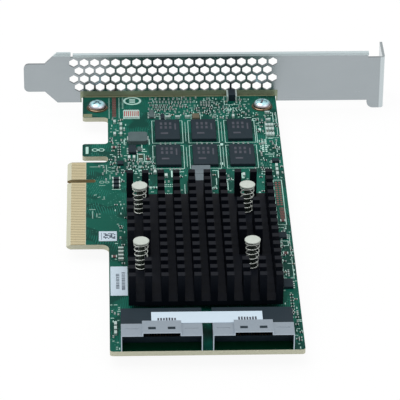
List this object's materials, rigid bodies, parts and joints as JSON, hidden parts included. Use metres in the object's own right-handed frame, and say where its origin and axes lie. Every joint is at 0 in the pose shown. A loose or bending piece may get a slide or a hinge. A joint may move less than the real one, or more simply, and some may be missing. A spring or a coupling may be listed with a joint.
{
  "type": "raid controller card",
  "caption": "Storage controller card with a full-height perforated bracket, pin-fin heat sink on sprung push pins, memory chips and two cable sockets.",
  "frame": {"origin": "tips of the edge fingers, on the centre line of the key slot, half-way through the board", "axes": "+X from the finger tips to the free long edge of the board, +Y towards the bracket, +Z out of the component side"},
  "size_m": [0.1201, 0.1675, 0.0213],
  "materials": {
    "board_green": "glossy solder mask over glass-epoxy laminate",
    "gold": "hard gold plate on the edge fingers",
    "bracket_steel": "satin bright-nickel sheet steel",
    "screw_steel": "bright nickel plate",
    "black_anodised": "black anodised",
    "package_green": "package substrate",
    "lid_metal": "nickel-plated package lid",
    "thermal_grey": "soft grey thermal pad",
    "pin_cream": "natural nylon",
    "spring_steel": "bright spring wire",
    "shell_metal": "matt tin-plated sheet",
    "socket_black": "black glass-filled moulding",
    "contact_gold": "gold-plated contact",
    "label_white": "white label film",
    "chip_black": "black moulding compound",
    "choke_grey": "pressed powder core",
    "tin": "tinned terminal",
    "ceramic_tan": "ceramic capacitor",
    "resistor_black": "thick-film resistor",
    "array_red": "resistor array body",
    "fuse_brown": "brown chip body"
  },
  "bodies": {
    "root": {"circuit_board": "board_green", "edge_contacts": "gold", "bracket": "bracket_steel", "bracket_screws": "screw_steel", "controller_substrate": "package_green", "controller_lid": "lid_metal", "thermal_pad": "thermal_grey", "heat_sink": "black_anodised", "voltage_chip": "chip_black", "gap_pad": "thermal_grey", "power_inductor": "choke_grey", "inductor_terminals": "tin", "ceramic_capacitors": "ceramic_tan", "chip_resistors": "resistor_black", "resistor_arrays": "array_red", "fuse_row": "fuse_brown", "buffer_chip": "chip_black", "crystal": "ceramic_tan", "regulator_chip": "chip_black", "gate_driver": "choke_grey", "sensor_chip": "chip_black", "filter_capacitor": "ceramic_tan", "sense_resistors": "array_red", "signal_diodes": "chip_black", "level_shifter": "choke_grey", "clock_chip": "chip_black", "monitor_chip": "chip_black", "flash_chip": "chip_black", "indicator_led": "socket_black", "led_terminals": "tin", "barcode_label": "label_white", "code_label": "label_white", "socket_label": "label_white", "push_pin_far_left": "pin_cream", "pin_spring_far_left": "spring_steel", "push_pin_far_right": "pin_cream", "pin_spring_far_right": "spring_steel", "push_pin_near_left": "pin_cream", "pin_spring_near_left": "spring_steel", "push_pin_near_right": "pin_cream", "pin_spring_near_right": "spring_steel", "socket_shell_left": "shell_metal", "socket_housing_left": "socket_black", "socket_contacts_left": "contact_gold", "socket_shell_right": "shell_metal", "socket_housing_right": "socket_black", "socket_contacts_right": "contact_gold", "memory_chip_1": "chip_black", "memory_chip_2": "chip_black", "memory_chip_3": "chip_black", "memory_chip_4": "chip_black", "memory_chip_5": "chip_black", "memory_chip_6": "chip_black"}
  },
  "joints": []
}
